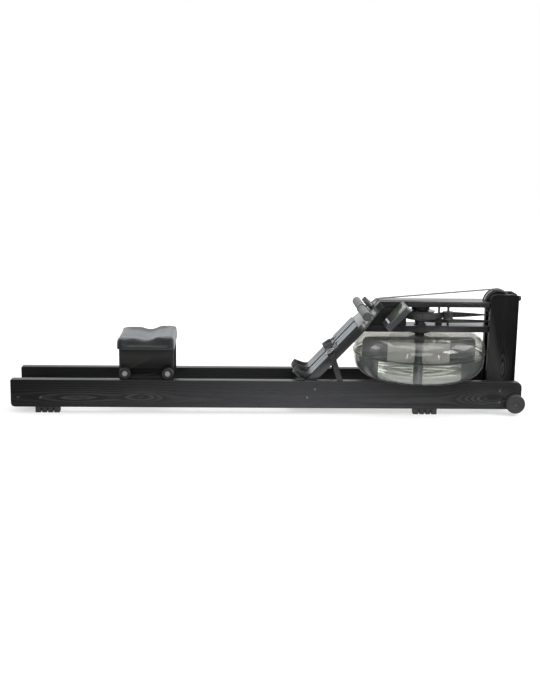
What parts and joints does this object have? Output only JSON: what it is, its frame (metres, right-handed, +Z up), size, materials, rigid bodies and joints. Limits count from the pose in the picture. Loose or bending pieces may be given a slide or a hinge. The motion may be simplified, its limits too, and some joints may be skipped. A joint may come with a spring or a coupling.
{
  "type": "water rowing machine",
  "caption": "Rowing machine with wooden rails, rolling seat, strapped footrests and a clear water tank whose paddle the handle's strap turns.",
  "frame": {"origin": "on the floor, under the middle of the machine's length and width", "axes": "+X from the seat towards the tank, +Y to the rower's left, +Z up"},
  "size_m": [2.1, 0.554, 0.506],
  "materials": {
    "stained_wood": "black-stained open-grained wood, satin",
    "black_plastic": "fine-textured matte",
    "grey_plastic": "fine-textured matte",
    "rubber": "matte",
    "steel": "brushed",
    "seat_pad": "soft grained cover",
    "handle_grip": "soft foam",
    "webbing": "woven",
    "tank": "clear, faintly smoky",
    "screen": "glossy over a liquid crystal display"
  },
  "bodies": {
    "frame": {"rail_right": "stained_wood", "rail_left": "stained_wood", "rear_spacer": "stained_wood", "front_spacer": "stained_wood", "footboard_spacer": "stained_wood", "post_right": "stained_wood", "post_left": "stained_wood", "post_spacer": "stained_wood", "bumper": "rubber", "top_deck": "stained_wood", "lower_deck": "stained_wood", "monitor_mount": "black_plastic", "footboard": "stained_wood", "strut_right": "stained_wood", "strut_left": "stained_wood", "foot_rear_right": "rubber", "foot_rear_left": "rubber", "foot_front_right": "rubber", "foot_front_left": "rubber", "seat_stop_right": "rubber", "seat_stop_left": "rubber", "tank_lower": "tank", "tank_upper": "tank", "tank_seal": "rubber", "shaft_bearing": "black_plastic", "handle_rest": "black_plastic", "top_axle": "steel", "foot_strap_right": "webbing", "foot_strap_left": "webbing", "wheel_axle": "steel", "drive_strap": "webbing", "recoil_strap": "webbing"},
    "seat": {"seat_cushion": "seat_pad", "seat_frame": "stained_wood", "seat_axle_rear": "steel", "seat_axle_front": "steel"},
    "roller_rear_right": {"roller_rear_right": "rubber"},
    "roller_rear_left": {"roller_rear_left": "rubber"},
    "roller_front_right": {"roller_front_right": "rubber"},
    "roller_front_left": {"roller_front_left": "rubber"},
    "handle": {"handle_bar": "black_plastic", "handle_grip": "handle_grip", "handle_strap": "webbing"},
    "paddle": {"paddle": "grey_plastic", "paddle_shaft": "steel"},
    "drum": {"drive_pulley": "black_plastic"},
    "guide_pulley": {"guide_pulley": "black_plastic"},
    "lower_guide_pulley": {"lower_guide_pulley": "black_plastic"},
    "top_pulley": {"top_pulley": "black_plastic"},
    "return_pulley": {"return_pulley": "black_plastic"},
    "bottom_pulley": {"bottom_pulley": "black_plastic"},
    "footrest_right": {"footrest_right": "grey_plastic"},
    "footrest_left": {"footrest_left": "grey_plastic"},
    "monitor": {"monitor_case": "black_plastic", "monitor_lens": "screen"},
    "monitor_key_1": {"monitor_key_1": "grey_plastic"},
    "monitor_key_2": {"monitor_key_2": "grey_plastic"},
    "monitor_key_3": {"monitor_key_3": "grey_plastic"},
    "wheel_right": {"wheel_right": "rubber"},
    "wheel_left": {"wheel_left": "rubber"}
  },
  "joints": [
    {"name": "seat_slide", "type": "slide", "parent": "frame", "child": "seat", "axis": [1, 0, 0], "range_m": [-0.4, 0.46]},
    {"name": "roller_rear_right_roll", "type": "hinge", "parent": "seat", "child": "roller_rear_right", "pos_m": [-0.58925, -0.114, 0.1613], "axis": [0, 1, 0], "range_deg": [-1000, 1150]},
    {"name": "roller_rear_left_roll", "type": "hinge", "parent": "seat", "child": "roller_rear_left", "pos_m": [-0.58925, 0.114, 0.1613], "axis": [0, 1, 0], "range_deg": [-1000, 1150]},
    {"name": "roller_front_right_roll", "type": "hinge", "parent": "seat", "child": "roller_front_right", "pos_m": [-0.41575, -0.114, 0.1613], "axis": [0, 1, 0], "range_deg": [-1000, 1150]},
    {"name": "roller_front_left_roll", "type": "hinge", "parent": "seat", "child": "roller_front_left", "pos_m": [-0.41575, 0.114, 0.1613], "axis": [0, 1, 0], "range_deg": [-1000, 1150]},
    {"name": "handle_pull", "type": "slide", "parent": "frame", "child": "handle", "axis": [-0.9968, 0, 0.0797], "range_m": [0, 1], "stiffness_N_per_m": 40, "springref_m": -0.3, "deforming": ["handle_strap"]},
    {"name": "top_pulley_spin", "type": "hinge", "parent": "frame", "child": "top_pulley", "pos_m": [0.948, 0, 0.4497], "axis": [0, 1, 0], "range_deg": [-1060, 10]},
    {"name": "drum_spin", "type": "hinge", "parent": "frame", "child": "drum", "pos_m": [0.63, 0, 0.396], "axis": [0, 0, 1], "range_deg": [-10, 1000]},
    {"name": "guide_pulley_spin", "type": "hinge", "parent": "frame", "child": "guide_pulley", "pos_m": [0.742, -0.024, 0.395], "axis": [0, 0, 1], "range_deg": [-2600, 10]},
    {"name": "lower_guide_pulley_spin", "type": "hinge", "parent": "frame", "child": "lower_guide_pulley", "pos_m": [0.711, 0.017, 0.367], "axis": [0, 0, 1], "range_deg": [-1400, 10]},
    {"name": "return_pulley_spin", "type": "hinge", "parent": "frame", "child": "return_pulley", "pos_m": [0.973, 0, 0.342], "axis": [0, 1, 0], "range_deg": [-850, 10]},
    {"name": "bottom_pulley_spin", "type": "hinge", "parent": "frame", "child": "bottom_pulley", "pos_m": [0.981, 0, 0.052], "axis": [0, 1, 0], "range_deg": [-1180, 10]},
    {"name": "paddle_spin", "type": "hinge", "parent": "frame", "child": "paddle", "pos_m": [0.63, 0, 0.25], "axis": [0, 0, 1], "continuous": true},
    {"name": "footrest_right_adjust", "type": "slide", "parent": "frame", "child": "footrest_right", "axis": [0.682, 0, 0.7314], "range_m": [0, 0.03]},
    {"name": "footrest_left_adjust", "type": "slide", "parent": "frame", "child": "footrest_left", "axis": [0.682, 0, 0.7314], "range_m": [0, 0.03]},
    {"name": "monitor_tilt", "type": "hinge", "parent": "frame", "child": "monitor", "pos_m": [0.5102, -0.132, 0.408], "axis": [0, 1, 0], "range_deg": [-20, 20]},
    {"name": "monitor_key_1_press", "type": "slide", "parent": "monitor", "child": "monitor_key_1", "axis": [0.7314, 0, -0.682], "range_m": [0, 0.0015], "stiffness_N_per_m": 400, "springref_m": -0.0005},
    {"name": "monitor_key_2_press", "type": "slide", "parent": "monitor", "child": "monitor_key_2", "axis": [0.7314, 0, -0.682], "range_m": [0, 0.0015], "stiffness_N_per_m": 400, "springref_m": -0.0005},
    {"name": "monitor_key_3_press", "type": "slide", "parent": "monitor", "child": "monitor_key_3", "axis": [0.7314, 0, -0.682], "range_m": [0, 0.0015], "stiffness_N_per_m": 400, "springref_m": -0.0005},
    {"name": "wheel_right_spin", "type": "hinge", "parent": "frame", "child": "wheel_right", "pos_m": [1.011, -0.153, 0.0505], "axis": [0, 1, 0], "continuous": true},
    {"name": "wheel_left_spin", "type": "hinge", "parent": "frame", "child": "wheel_left", "pos_m": [1.011, 0.153, 0.0505], "axis": [0, 1, 0], "continuous": true}
  ],
  "couplings": [
    {"joint": "roller_rear_right_roll", "follows": "seat_slide", "rad_per_m": 42.553},
    {"joint": "roller_rear_left_roll", "follows": "seat_slide", "rad_per_m": 42.553},
    {"joint": "roller_front_right_roll", "follows": "seat_slide", "rad_per_m": 42.553},
    {"joint": "roller_front_left_roll", "follows": "seat_slide", "rad_per_m": 42.553},
    {"joint": "top_pulley_spin", "follows": "handle_pull", "rad_per_m": -18.15},
    {"joint": "drum_spin", "follows": "handle_pull", "rad_per_m": 17.094},
    {"joint": "guide_pulley_spin", "follows": "handle_pull", "rad_per_m": -44.444},
    {"joint": "lower_guide_pulley_spin", "follows": "handle_pull", "rad_per_m": -23.71},
    {"joint": "return_pulley_spin", "follows": "handle_pull", "rad_per_m": -14.41},
    {"joint": "bottom_pulley_spin", "follows": "handle_pull", "rad_per_m": -19.87}
  ]
}
